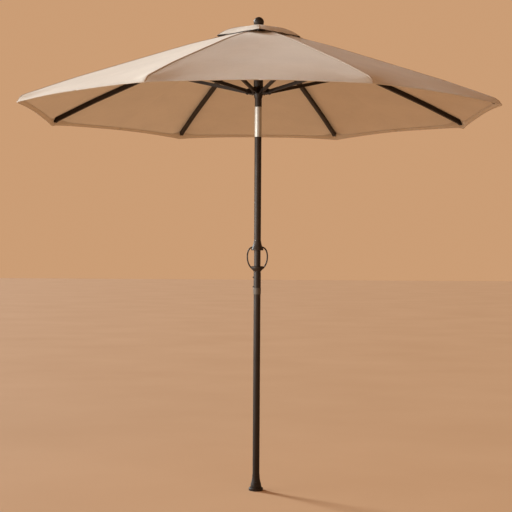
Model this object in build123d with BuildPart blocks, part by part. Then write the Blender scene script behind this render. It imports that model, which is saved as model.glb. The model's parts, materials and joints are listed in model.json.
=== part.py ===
from build123d import *
import os
from math import asin, atan, cos, degrees, radians, sin

# Octagonal market umbrella, open, 2.7 m across its corners and 2.6 m tall.
# Millimetres, +Z up, origin at the centre of the foot's underside, front towards -Y.
os.makedirs("parts", exist_ok=True)

# ---------------------------------------------------------------- driving dimensions
CANOPY_R = 1350.0            # axis to a canopy corner
TOP_Z = 2602.0               # top of the finial
RIB_COUNT = 8
FIRST_RIB = 22.5             # azimuth of rib 1, so that a flat edge faces the front
RIB_STEP = 360.0 / RIB_COUNT

POLE_R = 19.0                # every pole section is 38 mm tube
POLE_WALL = 1.5
POLE_BORE = POLE_R - POLE_WALL
SPIGOT_R = POLE_BORE - 0.1   # tubes and plugs that slide into a pole

# heights of the joins along the pole
FOOT_SOCKET_Z = 8.0
FOOT_TOP_Z = 85.0
COLLAR_Z = (1077.0, 1112.0)
POLE_JOIN_Z = 1092.0
HOUSING_TOP_Z = 1199.0
MIDDLE_Z = 1373.0
BARE_Z = (1942.0, 2107.0)
MAST_TOP_Z = 2508.0

# fabric heights (radius, height) along a rib: a flatter stretch near the crown, then one slope,
# and a slight bow down towards the rim
KNEE_RING = (409.0, 2422.0)
RIB_SLOPE = 0.35
INNER_SLOPE = 0.297
OUTER_KNEE_R = 1050.0
OUTER_SLOPE = 0.39
GORE_INNER_R = 155.0
FABRIC = 3.0
SEWN_GAP = 0.3               # half the gap kept between neighbouring gores
FABRIC_LIFT = 15.8           # top of the fabric above the ribs' line

# ribs: bars under the fabric, hinged a little below their own line
RIB_KNEE = (KNEE_RING[0], KNEE_RING[1] - FABRIC_LIFT)
RIB_PIVOT = (45.0, 2506.0)
RIB_WIDTH = 18.0
RIB_TOP = 10.0               # top face above the rib's line
RIB_UNDERSIDE = -14.0        # bottom face below it
RIB_DEPTH = RIB_TOP - RIB_UNDERSIDE
RIB_START_R = 96.0
RIB_END_R = 1290.0
TIP_CAP_LENGTH = 16.0
RIB_ANGLE = degrees(atan(RIB_SLOPE))

# struts, from a bracket under each rib to the runner
STRUT_STATION_R = 589.0
BRACKET_DROP = 28.0
RUNNER_PIVOT = (62.0, 2190.0)
STRUT_WIDTH = 12.0
STRUT_DEPTH = 18.0
STRUT_PIN_R = 3.0
BRACKET_WIDTH = 6.0

# vent cap on its four spreader arms
ARM_COUNT = 4
ARM_PIVOT = (40.0, 2541.0)
ARM_PATH = [ARM_PIVOT, (138.0, 2522.0), (231.0, 2486.5)]
ARM_WIDTH = 4.0
ARM_DEPTH = 5.0
CAP_RINGS = [(14.0, 2552.0), (66.0, 2548.5), (140.0, 2530.0), (236.0, 2496.0)]
CAP_FABRIC = 2.0

# winch handle
CORE_R = 9.0
RUN_FIT = 0.06               # radial clearance of a shaft in its bush
GRIP_R = 18.0
LOOP_BAR_R = 4.0
LOOP_REACH = 55.0
DRUM_R = 11.0
CORD_R = 1.5
CORD_WINCH_Y = 13.2
CORD_INNER_Y = 2.5
CORD_OUTER_Y = -22.5
PULLEY_Y = (CORD_INNER_Y + CORD_OUTER_Y) / 2
AXLE_R = 2.0

# snap buttons in the pole's coupling
BUTTON_HEIGHTS = {"upper": 1170.0, "lower": 1118.0}
BUTTON_R = 3.95
BUTTON_HOLE_R = 4.1
BUTTON_OUT_X = -24.5
CLIP_FACE_X = -13.0

# crown
HUB_R = 53.0
HUB_Z = (2488.0, 2516.0)
NECK_R = 22.0
ARM_DISC_R = 46.0
ARM_DISC_Z = (2531.0, 2545.0)
PULLEY_Z = 2468.0
PULLEY_WIDTH = 6.0
PIN_R = 2.5


# ---------------------------------------------------------------- helpers
def rib_line_z(radius):
    """Height of a rib's line at a radius."""
    slope = INNER_SLOPE if radius < RIB_KNEE[0] else RIB_SLOPE
    bow = (OUTER_SLOPE - RIB_SLOPE) * max(0.0, radius - OUTER_KNEE_R)
    return RIB_KNEE[1] - slope * (radius - RIB_KNEE[0]) - bow


def azimuth(index, count, first):
    """Azimuth in degrees of one of a ring of equal parts."""
    return first + index * 360.0 / count


def tangent_plane(radius, height, turn):
    """Plane square to the tangent at a radius and height, for a pin that lies across a rib."""
    centre = Vector(radius, 0, height).rotate(Axis.Z, turn)
    tangent = Vector(0, 1, 0).rotate(Axis.Z, turn)
    return Plane(origin=centre, x_dir=(0, 0, 1), z_dir=tangent)


def save_node(name, pieces, turn=0.0):
    """Turn the finished pieces of one node about the pole and write them to one file."""
    placed = [piece.rotate(Axis.Z, turn) for piece in pieces]
    node = placed[0] if len(placed) == 1 else Compound(children=placed)
    node.label = name
    export_step(node, f"parts/{name}.step")


def tube(z_low, z_high, outer, inner):
    """A plain length of round tube on the pole's axis."""
    with BuildPart() as length:
        with BuildSketch(Plane.XY.offset(z_low)):
            Circle(outer)
            Circle(inner, mode=Mode.SUBTRACT)
        extrude(amount=z_high - z_low)
    return length.part


# slope frame of a rib's middle stretch at azimuth 0, x outwards and down it, y up from it
RIB_PLANE = Plane(
    origin=(RIB_KNEE[0], 0, RIB_KNEE[1]),
    x_dir=(cos(radians(RIB_ANGLE)), 0, -sin(radians(RIB_ANGLE))),
    z_dir=(0, -1, 0),
)


def along_rib(radius):
    """Distance along the rib's middle stretch from its knee to a radius."""
    return (radius - RIB_KNEE[0]) / cos(radians(RIB_ANGLE))


STRUT_TOP = RIB_PLANE.from_local_coords(Vector(along_rib(STRUT_STATION_R), -BRACKET_DROP, 0))

# ---------------------------------------------------------------- foot
FLANGE_R = 39.5
FLANGE_Z = 16.0
FOOT_HOLES_R = 34.0
FOOT_HOLE_R = 2.25
SCREW_Z = 40.0
SCREW_SEAT_Y = -30.0

with BuildPart() as foot_flange:
    with BuildSketch(Plane.XZ):
        with BuildLine():
            Polyline((0, 0), (FLANGE_R - 1, 0), (FLANGE_R, 1), (FLANGE_R, FLANGE_Z - 3))
            Line((FLANGE_R, FLANGE_Z - 3), (FLANGE_R - 3, FLANGE_Z))
            Line((FLANGE_R - 3, FLANGE_Z), (29.5, FLANGE_Z))
            Spline((29.5, FLANGE_Z), (28.6, 32), (23.8, 52), (21.0, 68), (20.6, FOOT_TOP_Z))
            Line((20.6, FOOT_TOP_Z), (0, FOOT_TOP_Z))
            Line((0, FOOT_TOP_Z), (0, 0))
        make_face()
    revolve(axis=Axis.Z)
    with BuildSketch(Plane.XZ.offset(-SCREW_SEAT_Y)):
        with Locations((0, SCREW_Z)):
            Circle(7.5)
    extrude(amount=SCREW_SEAT_Y + POLE_R + 0.5)
    with BuildSketch(Plane.XY.offset(FOOT_SOCKET_Z)):
        Circle(POLE_R)
    extrude(amount=FOOT_TOP_Z, mode=Mode.SUBTRACT)
    with BuildSketch(Plane.XZ.offset(POLE_R - 2)):
        with Locations((0, SCREW_Z)):
            Circle(3.0)
    extrude(amount=20, mode=Mode.SUBTRACT)
    with BuildSketch(Plane.XY):
        with PolarLocations(FOOT_HOLES_R, 4, start_angle=45):
            Circle(FOOT_HOLE_R)
    extrude(amount=FLANGE_Z + 1, mode=Mode.SUBTRACT)
foot_flange.part.label = "foot_flange"
export_step(foot_flange.part, "parts/foot_flange.step")

with BuildPart() as foot_set_screw:
    with BuildSketch(Plane.XZ.offset(POLE_R)):
        with Locations((0, SCREW_Z)):
            Circle(3.0)
    extrude(amount=-SCREW_SEAT_Y - POLE_R)
    with BuildSketch(Plane.XZ.offset(-SCREW_SEAT_Y)):
        with Locations((0, SCREW_Z)):
            Circle(5.5)
    extrude(amount=3)
    with BuildSketch(Plane.XZ.offset(-SCREW_SEAT_Y + 1)):
        with Locations((0, SCREW_Z)):
            RegularPolygon(2.5, 6)
    extrude(amount=3, mode=Mode.SUBTRACT)
foot_set_screw.part.label = "foot_set_screw"
export_step(foot_set_screw.part, "parts/foot_set_screw.step")

# ---------------------------------------------------------------- pole sections
save_node("lower_pole", [tube(FOOT_SOCKET_Z, POLE_JOIN_Z, POLE_R, POLE_BORE)])
save_node("middle_pole", [tube(MIDDLE_Z, BARE_Z[0], POLE_R, POLE_BORE)])
save_node("bare_mast", [tube(BARE_Z[0], BARE_Z[1], POLE_R, POLE_BORE)])

JOINER_HALF = 48.0
joiners = [tube(z - JOINER_HALF, z + JOINER_HALF, SPIGOT_R, SPIGOT_R - 1.9) for z in BARE_Z]
save_node("mast_joiners", joiners)

with BuildPart() as top_mast:
    with BuildSketch(Plane.XY.offset(BARE_Z[1])):
        Circle(POLE_R)
        Circle(POLE_BORE, mode=Mode.SUBTRACT)
    extrude(amount=MAST_TOP_Z - BARE_Z[1])
    # window at the front, where the pulley stands out
    with BuildSketch(Plane.XZ.offset(10)):
        with Locations((0, PULLEY_Z)):
            SlotOverall(34, PULLEY_WIDTH + 2, rotation=90)
    extrude(amount=20, mode=Mode.SUBTRACT)
    # holes for the pulley's axle
    with BuildSketch(Plane.YZ):
        with Locations((PULLEY_Y, PULLEY_Z)):
            Circle(AXLE_R)
    extrude(amount=25, both=True, mode=Mode.SUBTRACT)
top_mast.part.label = "top_mast"
export_step(top_mast.part, "parts/top_mast.step")

with BuildPart() as pole_collar:
    with BuildSketch(Plane.XZ):
        with BuildLine():
            Polyline(
                (POLE_R, COLLAR_Z[0]),
                (20.2, COLLAR_Z[0]),
                (20.6, COLLAR_Z[0] + 2),
                (21.4, COLLAR_Z[1] - 2),
                (20.6, COLLAR_Z[1]),
                (POLE_R, COLLAR_Z[1]),
                close=True,
            )
        make_face()
    revolve(axis=Axis.Z)
pole_collar.part.label = "pole_collar"
export_step(pole_collar.part, "parts/pole_collar.step")

# ---------------------------------------------------------------- coupling inside the collar
SPIGOT_Z = (1010.0, 1187.0)

with BuildPart() as pole_spigot:
    with BuildSketch(Plane.XY.offset(SPIGOT_Z[0])):
        Circle(SPIGOT_R)
        Circle(SPIGOT_R - POLE_WALL, mode=Mode.SUBTRACT)
    extrude(amount=SPIGOT_Z[1] - SPIGOT_Z[0])
    with BuildSketch(Plane.YZ):
        with Locations(*[(0, z) for z in BUTTON_HEIGHTS.values()]):
            Circle(BUTTON_HOLE_R)
    extrude(amount=-POLE_R, mode=Mode.SUBTRACT)
pole_spigot.part.label = "pole_spigot"
export_step(pole_spigot.part, "parts/pole_spigot.step")

with BuildPart() as winch_housing:
    with BuildSketch(Plane.XZ):
        with BuildLine():
            Polyline(
                (POLE_BORE, POLE_JOIN_Z),
                (POLE_R, POLE_JOIN_Z),
                (POLE_R, COLLAR_Z[1]),
                (20, COLLAR_Z[1]),
                (20, HOUSING_TOP_Z - 1),
                (19, HOUSING_TOP_Z),
                (POLE_BORE, HOUSING_TOP_Z),
                close=True,
            )
        make_face()
    revolve(axis=Axis.Z)
    with BuildSketch(Plane.YZ):
        with Locations(*[(0, z) for z in BUTTON_HEIGHTS.values()]):
            Circle(BUTTON_HOLE_R)
    extrude(amount=-2 * POLE_R, mode=Mode.SUBTRACT)
winch_housing.part.label = "winch_housing"
export_step(winch_housing.part, "parts/winch_housing.step")

for side, z in BUTTON_HEIGHTS.items():
    with BuildPart() as snap_button:
        with BuildSketch(Plane.YZ.offset(CLIP_FACE_X)):
            with Locations((0, z)):
                Circle(BUTTON_R)
        extrude(amount=BUTTON_OUT_X - CLIP_FACE_X)
        fillet(snap_button.edges().sort_by(Axis.X)[0], 1.6)
    save_node(f"snap_button_{side}", [snap_button.part])

CLIP_WIDTH = 7.0
CLIP_STRIP = 0.6


def snap_clip(z):
    """A V of spring strip, one leg on the spigot's far wall and one behind the button."""
    with BuildPart() as clip:
        with BuildSketch(Plane.XZ):
            with BuildLine():
                Polyline(
                    (14.6, z + 8),
                    (14.6, z - 10),
                    (0, z - 40),
                    (CLIP_FACE_X, z - 8),
                    (CLIP_FACE_X, z + 8),
                    (CLIP_FACE_X + CLIP_STRIP, z + 8),
                    (CLIP_FACE_X + CLIP_STRIP, z - 8),
                    (0, z - 38.4),
                    (14, z - 10),
                    (14, z + 8),
                    close=True,
                )
            make_face()
        extrude(amount=CLIP_WIDTH / 2, both=True)
    return clip.part


save_node("snap_clips", [snap_clip(z) for z in BUTTON_HEIGHTS.values()])

# ---------------------------------------------------------------- winch and its handle
ROTOR_LOW_Z = 1199.3
ROTOR_HIGH_Z = 1372.5
SHELL_LOW_Z = 1200.8
SHELL_TOP_Z = 1330.0
BUSH_R = 12.0

with BuildPart() as winch_core:
    with BuildSketch(Plane.XZ):
        with BuildLine():
            Polyline(
                (0, SPIGOT_Z[1]),
                (SPIGOT_R, SPIGOT_Z[1]),
                (SPIGOT_R, HOUSING_TOP_Z),
                (CORE_R, HOUSING_TOP_Z),
                (CORE_R, MIDDLE_Z + 1),
                (SPIGOT_R, MIDDLE_Z + 1),
                (SPIGOT_R, MIDDLE_Z + 29),
                (0, MIDDLE_Z + 29),
                close=True,
            )
        make_face()
    revolve(axis=Axis.Z)
    # guide hole for the cord
    with BuildSketch(Plane.XY.offset(MIDDLE_Z)):
        with Locations((0, CORD_WINCH_Y)):
            Circle(CORD_R + 0.6)
    extrude(amount=40, mode=Mode.SUBTRACT)
winch_core.part.label = "winch_core"
export_step(winch_core.part, "parts/winch_core.step")

with BuildPart() as lower_bush:
    with BuildSketch(Plane.XY.offset(ROTOR_LOW_Z)):
        Circle(15)
        Circle(CORE_R + RUN_FIT, mode=Mode.SUBTRACT)
    extrude(amount=SHELL_LOW_Z - ROTOR_LOW_Z)
    with BuildSketch(Plane.XY.offset(SHELL_LOW_Z)):
        Circle(BUSH_R)
        Circle(CORE_R + RUN_FIT, mode=Mode.SUBTRACT)
    extrude(amount=22)
upper_bush = tube(1306, 1328, BUSH_R, CORE_R + RUN_FIT)
save_node("handle_bushes", [lower_bush.part, upper_bush])

with BuildPart() as handle_shell:
    with BuildSketch(Plane.XZ):
        with BuildLine():
            Line((BUSH_R, SHELL_LOW_Z), (20.4, SHELL_LOW_Z))
            Spline((20.4, SHELL_LOW_Z), (22.5, 1206), (29.0, 1213.5), (33.4, 1223), (32.4, 1230.5))
            Spline((32.4, 1230.5), (30.2, 1231.5), (28.0, 1228.6), (24.0, 1226.0), (GRIP_R, 1225.5))
            Line((GRIP_R, 1225.5), (GRIP_R, SHELL_TOP_Z))
            Line((GRIP_R, SHELL_TOP_Z), (BUSH_R, SHELL_TOP_Z))
            Line((BUSH_R, SHELL_TOP_Z), (BUSH_R, SHELL_LOW_Z))
        make_face()
    revolve(axis=Axis.Z)
handle_shell.part.label = "handle_shell"
export_step(handle_shell.part, "parts/handle_shell.step")

SPOOL_ROOM_R = 17.0

with BuildPart() as handle_bell:
    with BuildSketch(Plane.XZ):
        with BuildLine():
            Line((SPOOL_ROOM_R, ROTOR_HIGH_Z), (19.6, ROTOR_HIGH_Z))
            Spline((19.6, ROTOR_HIGH_Z), (20.6, 1366), (23.6, 1350), (30.4, 1332), (33.6, 1323.5))
            Spline((33.6, 1323.5), (32.2, 1318.6), (28.6, 1319.6), (24.0, 1323.8), (GRIP_R, 1325.5))
            Line((GRIP_R, 1325.5), (GRIP_R, SHELL_TOP_Z))
            Line((GRIP_R, SHELL_TOP_Z), (SPOOL_ROOM_R, SHELL_TOP_Z))
            Line((SPOOL_ROOM_R, SHELL_TOP_Z), (SPOOL_ROOM_R, ROTOR_HIGH_Z))
        make_face()
    revolve(axis=Axis.Z)
handle_bell.part.label = "handle_bell"
export_step(handle_bell.part, "parts/handle_bell.step")

with BuildPart() as side_loop:
    with BuildLine(Plane.XZ):
        loop_path = Spline(
            (25.0, 1337.0),
            (41.0, 1328.5),
            (LOOP_REACH, 1284.0),
            (44.5, 1238.0),
            (25.5, 1215.0),
        )
    with BuildSketch(Plane(origin=loop_path @ 0, z_dir=loop_path % 0)):
        Circle(LOOP_BAR_R)
    sweep()
save_node("handle_loops", [side_loop.part, side_loop.part.mirror(Plane.YZ)])

with BuildPart() as winch_spool:
    with BuildSketch(Plane.XY.offset(SHELL_TOP_Z)):
        Circle(16.5)
        Circle(CORE_R + 0.3, mode=Mode.SUBTRACT)
    extrude(amount=3)
    with BuildSketch(Plane.XY.offset(SHELL_TOP_Z + 3)):
        Circle(DRUM_R)
        Circle(CORE_R + 0.3, mode=Mode.SUBTRACT)
    extrude(amount=34)
winch_spool.part.label = "winch_spool"
export_step(winch_spool.part, "parts/winch_spool.step")

SPRING_R = 10.5
SPRING_WIRE_R = 0.8

with BuildPart() as brake_spring:
    with BuildLine(Plane.XY.offset(1236)):
        coil = Helix(pitch=6, height=60, radius=SPRING_R)
    with BuildSketch(Plane(origin=coil @ 0, z_dir=coil % 0)):
        Circle(SPRING_WIRE_R)
    sweep(is_frenet=True)
brake_spring.part.label = "brake_spring"
export_step(brake_spring.part, "parts/brake_spring.step")

# ---------------------------------------------------------------- lift cord and its pulley
CORD_LOW_Z = 1350.0
CORD_END_Z = 2241.0
CORD_RISE = [
    (CORD_WINCH_Y, CORD_LOW_Z),
    (CORD_WINCH_Y, 1500.0),
    (CORD_INNER_Y, 1800.0),
    (CORD_INNER_Y, PULLEY_Z),
]
CORD_BEND_R = 400.0

with BuildPart() as lift_cord:
    with BuildLine(Plane.YZ) as cord_path:
        rise = FilletPolyline(*CORD_RISE, radius=CORD_BEND_R)
        over = CenterArc(
            (PULLEY_Y, PULLEY_Z),
            (CORD_INNER_Y - CORD_OUTER_Y) / 2,
            0,
            180,
        )
        fall = Line((CORD_OUTER_Y, PULLEY_Z), (CORD_OUTER_Y, CORD_END_Z))
    with BuildSketch(Plane(origin=(0, CORD_WINCH_Y, CORD_LOW_Z), z_dir=(0, 0, 1))):
        Circle(CORD_R)
    sweep(path=cord_path.wires()[0])
lift_cord.part.label = "lift_cord"
export_step(lift_cord.part, "parts/lift_cord.step")

GROOVE_R = 10.9
PULLEY_RIM_R = 14.0

with BuildPart() as crown_pulley:
    with BuildSketch(Plane.XY.offset(PULLEY_Z)):
        with BuildLine():
            Polyline(
                (-PULLEY_WIDTH / 2, PULLEY_Y + AXLE_R + 0.05),
                (PULLEY_WIDTH / 2, PULLEY_Y + AXLE_R + 0.05),
                (PULLEY_WIDTH / 2, PULLEY_Y + PULLEY_RIM_R),
                (CORD_R + 0.4, PULLEY_Y + PULLEY_RIM_R),
                (CORD_R + 0.2, PULLEY_Y + GROOVE_R),
                (-CORD_R - 0.2, PULLEY_Y + GROOVE_R),
                (-CORD_R - 0.4, PULLEY_Y + PULLEY_RIM_R),
                (-PULLEY_WIDTH / 2, PULLEY_Y + PULLEY_RIM_R),
                close=True,
            )
        make_face()
    revolve(axis=Axis((0, PULLEY_Y, PULLEY_Z), (1, 0, 0)))
crown_pulley.part.label = "crown_pulley"
export_step(crown_pulley.part, "parts/crown_pulley.step")

# ---------------------------------------------------------------- runner
RUNNER_Z = (2156.0, 2255.0)
RUNNER_R = 26.0
LINER_R = 20.5
EAR_Z = (2178.0, 2205.0)
EAR_R = 72.0
EAR_WIDTH = 19.6
EAR_GAP = 12.8
EAR_GAP_START_R = 34.0
PIN_SLOT_WIDTH = 7.4
rib_turns = [azimuth(i, RIB_COUNT, FIRST_RIB) for i in range(RIB_COUNT)]

with BuildPart() as runner:
    with BuildSketch(Plane.XZ):
        with BuildLine():
            Polyline(
                (LINER_R, RUNNER_Z[0]),
                (21.8, RUNNER_Z[0]),
                (22.4, RUNNER_Z[0] + 6),
                (RUNNER_R, RUNNER_Z[0] + 22),
                (RUNNER_R, RUNNER_Z[1] - 1.5),
                (RUNNER_R - 1.5, RUNNER_Z[1]),
                (LINER_R, RUNNER_Z[1]),
                close=True,
            )
        make_face()
    revolve(axis=Axis.Z)
    # eight forked ears
    for turn in rib_turns:
        with BuildSketch(tangent_plane(0, EAR_Z[0], turn)):
            with BuildLine():
                Polyline(
                    (0, LINER_R + 1),
                    (0, EAR_R - 3),
                    (4, EAR_R),
                    (EAR_Z[1] - EAR_Z[0] - 8, EAR_R),
                    (EAR_Z[1] - EAR_Z[0], EAR_R - 10),
                    (EAR_Z[1] - EAR_Z[0] + 14, LINER_R + 1),
                    close=True,
                )
            make_face()
        extrude(amount=EAR_WIDTH / 2, both=True)
    with BuildSketch(Plane.XY.offset(RUNNER_Z[0])):
        Circle(LINER_R)
    extrude(amount=RUNNER_Z[1] - RUNNER_Z[0], mode=Mode.SUBTRACT)
    for turn in rib_turns:
        # gap for the strut
        with BuildSketch(Plane.XY.offset(EAR_Z[0] - 1).rotated((0, 0, turn))):
            with Locations(((EAR_GAP_START_R + EAR_R + 5) / 2, 0)):
                Rectangle(EAR_R + 5 - EAR_GAP_START_R, EAR_GAP)
        extrude(amount=60, mode=Mode.SUBTRACT)
        # open-bottomed slot in which the strut's own pin hooks
        with BuildSketch(tangent_plane(0, RUNNER_PIVOT[1], turn)):
            with BuildLine():
                Polyline(
                    (0, RUNNER_PIVOT[0] - PIN_SLOT_WIDTH / 2),
                    (0, RUNNER_PIVOT[0] + PIN_SLOT_WIDTH / 2),
                    (-14, RUNNER_PIVOT[0] + PIN_SLOT_WIDTH / 2),
                    (-14, RUNNER_PIVOT[0] - PIN_SLOT_WIDTH / 2 - 2.5),
                    close=True,
                )
            make_face()
            with Locations((0, RUNNER_PIVOT[0])):
                Circle(PIN_SLOT_WIDTH / 2)
        extrude(amount=EAR_WIDTH, both=True, mode=Mode.SUBTRACT)
    # hole for the end of the lift cord
    with BuildSketch(Plane.XY.offset(CORD_END_Z - 1)):
        with Locations((0, CORD_OUTER_Y)):
            Circle(CORD_R + 0.3)
    extrude(amount=20, mode=Mode.SUBTRACT)
runner.part.label = "runner"
export_step(runner.part, "parts/runner.step")

save_node("runner_liner", [tube(RUNNER_Z[0] + 1, RUNNER_Z[1] - 1, LINER_R, POLE_R + RUN_FIT)])

# ---------------------------------------------------------------- crown hub and its pins
RIB_SLOT = 8.8
RIB_TONGUE = 8.0
ARM_SLOT = 4.8
STUD_R = 5.0
RIB_PIN_LENGTH = 19.0
ARM_PIN_R = 1.5
ARM_PIN_LENGTH = 10.4
arm_turns = [azimuth(i, ARM_COUNT, 0.0) for i in range(ARM_COUNT)]

with BuildPart() as crown_hub:
    with BuildSketch(Plane.XY.offset(HUB_Z[0])):
        Circle(HUB_R)
    extrude(amount=HUB_Z[1] - HUB_Z[0])
    with BuildSketch(Plane.XY.offset(HUB_Z[1])):
        Circle(NECK_R)
    extrude(amount=ARM_DISC_Z[0] - HUB_Z[1])
    with BuildSketch(Plane.XY.offset(ARM_DISC_Z[0])):
        Circle(ARM_DISC_R)
    extrude(amount=ARM_DISC_Z[1] - ARM_DISC_Z[0])
    rims = crown_hub.edges().filter_by(GeomType.CIRCLE).filter_by(lambda edge: edge.radius > NECK_R)
    chamfer(rims, 2.0)
    # socket for the mast
    with BuildSketch(Plane.XY.offset(HUB_Z[0])):
        Circle(POLE_R)
    extrude(amount=MAST_TOP_Z - HUB_Z[0], mode=Mode.SUBTRACT)
    with BuildSketch(Plane.XY.offset(HUB_Z[0])):
        Circle(STUD_R)
    extrude(amount=ARM_DISC_Z[1] - HUB_Z[0], mode=Mode.SUBTRACT)
    # slots for the ribs, and through both discs for the vent arms
    with BuildSketch(Plane.XY.offset(HUB_Z[0])):
        with PolarLocations(45, RIB_COUNT, start_angle=FIRST_RIB):
            Rectangle(30, RIB_SLOT)
    extrude(amount=HUB_Z[1] - HUB_Z[0], mode=Mode.SUBTRACT)
    with BuildSketch(Plane.XY.offset(HUB_Z[0])):
        with PolarLocations(48, ARM_COUNT):
            Rectangle(30, ARM_SLOT)
    extrude(amount=ARM_DISC_Z[1] - HUB_Z[0], mode=Mode.SUBTRACT)
    for turn in rib_turns:
        with BuildSketch(tangent_plane(RIB_PIVOT[0], RIB_PIVOT[1], turn)):
            Circle(PIN_R)
        extrude(amount=RIB_PIN_LENGTH / 2, both=True, mode=Mode.SUBTRACT)
    for turn in arm_turns:
        with BuildSketch(tangent_plane(ARM_PIVOT[0], ARM_PIVOT[1], turn)):
            Circle(ARM_PIN_R)
        extrude(amount=ARM_PIN_LENGTH / 2, both=True, mode=Mode.SUBTRACT)
crown_hub.part.label = "crown_hub"
export_step(crown_hub.part, "parts/crown_hub.step")


def cross_pin(radius, height, pin_r, length, turn):
    """A straight pin lying across a rib or arm."""
    with BuildPart() as pin:
        with BuildSketch(tangent_plane(radius, height, turn)):
            Circle(pin_r)
        extrude(amount=length / 2, both=True)
    return pin.part


with BuildPart() as pulley_axle:
    with BuildSketch(Plane.YZ):
        with Locations((PULLEY_Y, PULLEY_Z)):
            Circle(AXLE_R)
    extrude(amount=16.6, both=True)
crown_pins = [cross_pin(*RIB_PIVOT, PIN_R, RIB_PIN_LENGTH, turn) for turn in rib_turns]
crown_pins += [cross_pin(*ARM_PIVOT, ARM_PIN_R, ARM_PIN_LENGTH, turn) for turn in arm_turns]
save_node("crown_pins", crown_pins + [pulley_axle.part])

# ---------------------------------------------------------------- finial
BALL_R = 28.5
BALL_Z = TOP_Z - BALL_R
BALL_BASE_Z = 2554.0
STUD_Z = (2500.0, 2572.0)

save_node("cap_washer", [tube(CAP_RINGS[0][1] + 0.4, BALL_BASE_Z, 24, STUD_R)])

with BuildPart() as finial_ball:
    with BuildSketch(Plane.XZ):
        with BuildLine():
            base_angle = degrees(asin((BALL_BASE_Z - BALL_Z) / BALL_R))
            CenterArc((0, BALL_Z), BALL_R, base_angle, 90 - base_angle)
            Polyline(
                (0, TOP_Z),
                (0, STUD_Z[1]),
                (STUD_R, STUD_Z[1]),
                (STUD_R, BALL_BASE_Z),
                (BALL_R * cos(radians(base_angle)), BALL_BASE_Z),
            )
        make_face()
    revolve(axis=Axis.Z)
with BuildPart() as finial_stud:
    with BuildSketch(Plane.XY.offset(STUD_Z[0])):
        Circle(STUD_R)
    extrude(amount=STUD_Z[1] - STUD_Z[0])
save_node("finial_ball", [finial_ball.part, finial_stud.part])

# ---------------------------------------------------------------- one rib, at azimuth 0
RIB_BEND_R = 4000.0
RIB_WALL = 1.5
ROOT_PLUG_R = RIB_START_R + 20

with BuildPart() as rib_bar:
    with BuildLine(Plane.XZ) as rib_centre:
        rib_stations = [RIB_START_R, RIB_KNEE[0], OUTER_KNEE_R, RIB_END_R]
        FilletPolyline(*[(r, rib_line_z(r)) for r in rib_stations], radius=RIB_BEND_R)
    rib_start = Plane(origin=rib_centre.line @ 0, x_dir=(0, 1, 0), z_dir=rib_centre.line % 0)
    with BuildSketch(rib_start):
        with Locations((0, (RIB_TOP + RIB_UNDERSIDE) / 2)):
            Rectangle(RIB_WIDTH, RIB_DEPTH)
            Rectangle(RIB_WIDTH - 2 * RIB_WALL, RIB_DEPTH - 2 * RIB_WALL, mode=Mode.SUBTRACT)
    sweep(path=rib_centre.wires()[0])
    # root tongue that drops to the hinge pin, plugged into the bar from floor to ceiling
    with BuildSketch(Plane.XZ):
        with BuildLine():
            Polyline(
                (RIB_PIVOT[0], RIB_PIVOT[1] - 8),
                (RIB_START_R, rib_line_z(RIB_START_R) + RIB_UNDERSIDE + 0.5),
                (ROOT_PLUG_R, rib_line_z(ROOT_PLUG_R) + RIB_UNDERSIDE + 0.5),
                (ROOT_PLUG_R, rib_line_z(ROOT_PLUG_R) + RIB_TOP - 0.5),
                (RIB_PIVOT[0] + 18, RIB_PIVOT[1] + 8),
                (RIB_PIVOT[0], RIB_PIVOT[1] + 8),
                close=True,
            )
        make_face()
        with Locations(RIB_PIVOT):
            Circle(8)
            Circle(PIN_R + RUN_FIT, mode=Mode.SUBTRACT)
    extrude(amount=RIB_TONGUE / 2, both=True)

rib_end = rib_centre.line @ 1
with BuildPart() as tip_cap:
    with BuildSketch(Plane(origin=rib_end, x_dir=rib_centre.line % 1, z_dir=(0, -1, 0))):
        with Locations((TIP_CAP_LENGTH / 2, (RIB_TOP + RIB_UNDERSIDE) / 2 - 1)):
            RectangleRounded(TIP_CAP_LENGTH, RIB_DEPTH + 2, 3)
    extrude(amount=RIB_WIDTH / 2 + 1, both=True)

with BuildPart() as strut_bracket:
    station = along_rib(STRUT_STATION_R)
    with BuildSketch(RIB_PLANE):
        with Locations((station + 20, RIB_UNDERSIDE - 1.25)):
            Rectangle(110, 2.5)
    extrude(amount=RIB_WIDTH / 2, both=True)
    with BuildSketch(RIB_PLANE):
        with BuildLine():
            Polyline(
                (station - 8, -BRACKET_DROP),
                (station - 22, RIB_UNDERSIDE - 2),
                (station + 60, RIB_UNDERSIDE - 2),
                (station + 7, -BRACKET_DROP - 4),
                close=True,
            )
        make_face()
        with Locations((station, -BRACKET_DROP)):
            Circle(8)
            Circle(STRUT_PIN_R + RUN_FIT, mode=Mode.SUBTRACT)
    extrude(amount=BRACKET_WIDTH / 2, both=True)

# ---------------------------------------------------------------- one strut, at azimuth 0
strut_run = Vector(RUNNER_PIVOT[0], 0, RUNNER_PIVOT[1]) - STRUT_TOP
STRUT_LENGTH = strut_run.length
STRUT_PLANE = Plane(origin=STRUT_TOP, x_dir=strut_run, z_dir=(0, -1, 0))
FORK_BACK = 13
FORK_REACH = 40

with BuildPart() as strut_bar:
    with BuildSketch(STRUT_PLANE):
        with Locations((STRUT_LENGTH / 2, 0)):
            SlotCenterToCenter(STRUT_LENGTH, STRUT_DEPTH)
        with Locations((0, 0), (STRUT_LENGTH, 0)):
            Circle(STRUT_PIN_R, mode=Mode.SUBTRACT)
    extrude(amount=STRUT_WIDTH / 2, both=True)
    # fork around the bracket, deep enough to swing down beside it
    with BuildSketch(STRUT_PLANE):
        with Locations(((FORK_REACH - FORK_BACK) / 2, 0)):
            Rectangle(FORK_REACH + FORK_BACK, STRUT_DEPTH + 4)
    extrude(amount=(BRACKET_WIDTH + 0.8) / 2, both=True, mode=Mode.SUBTRACT)

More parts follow.
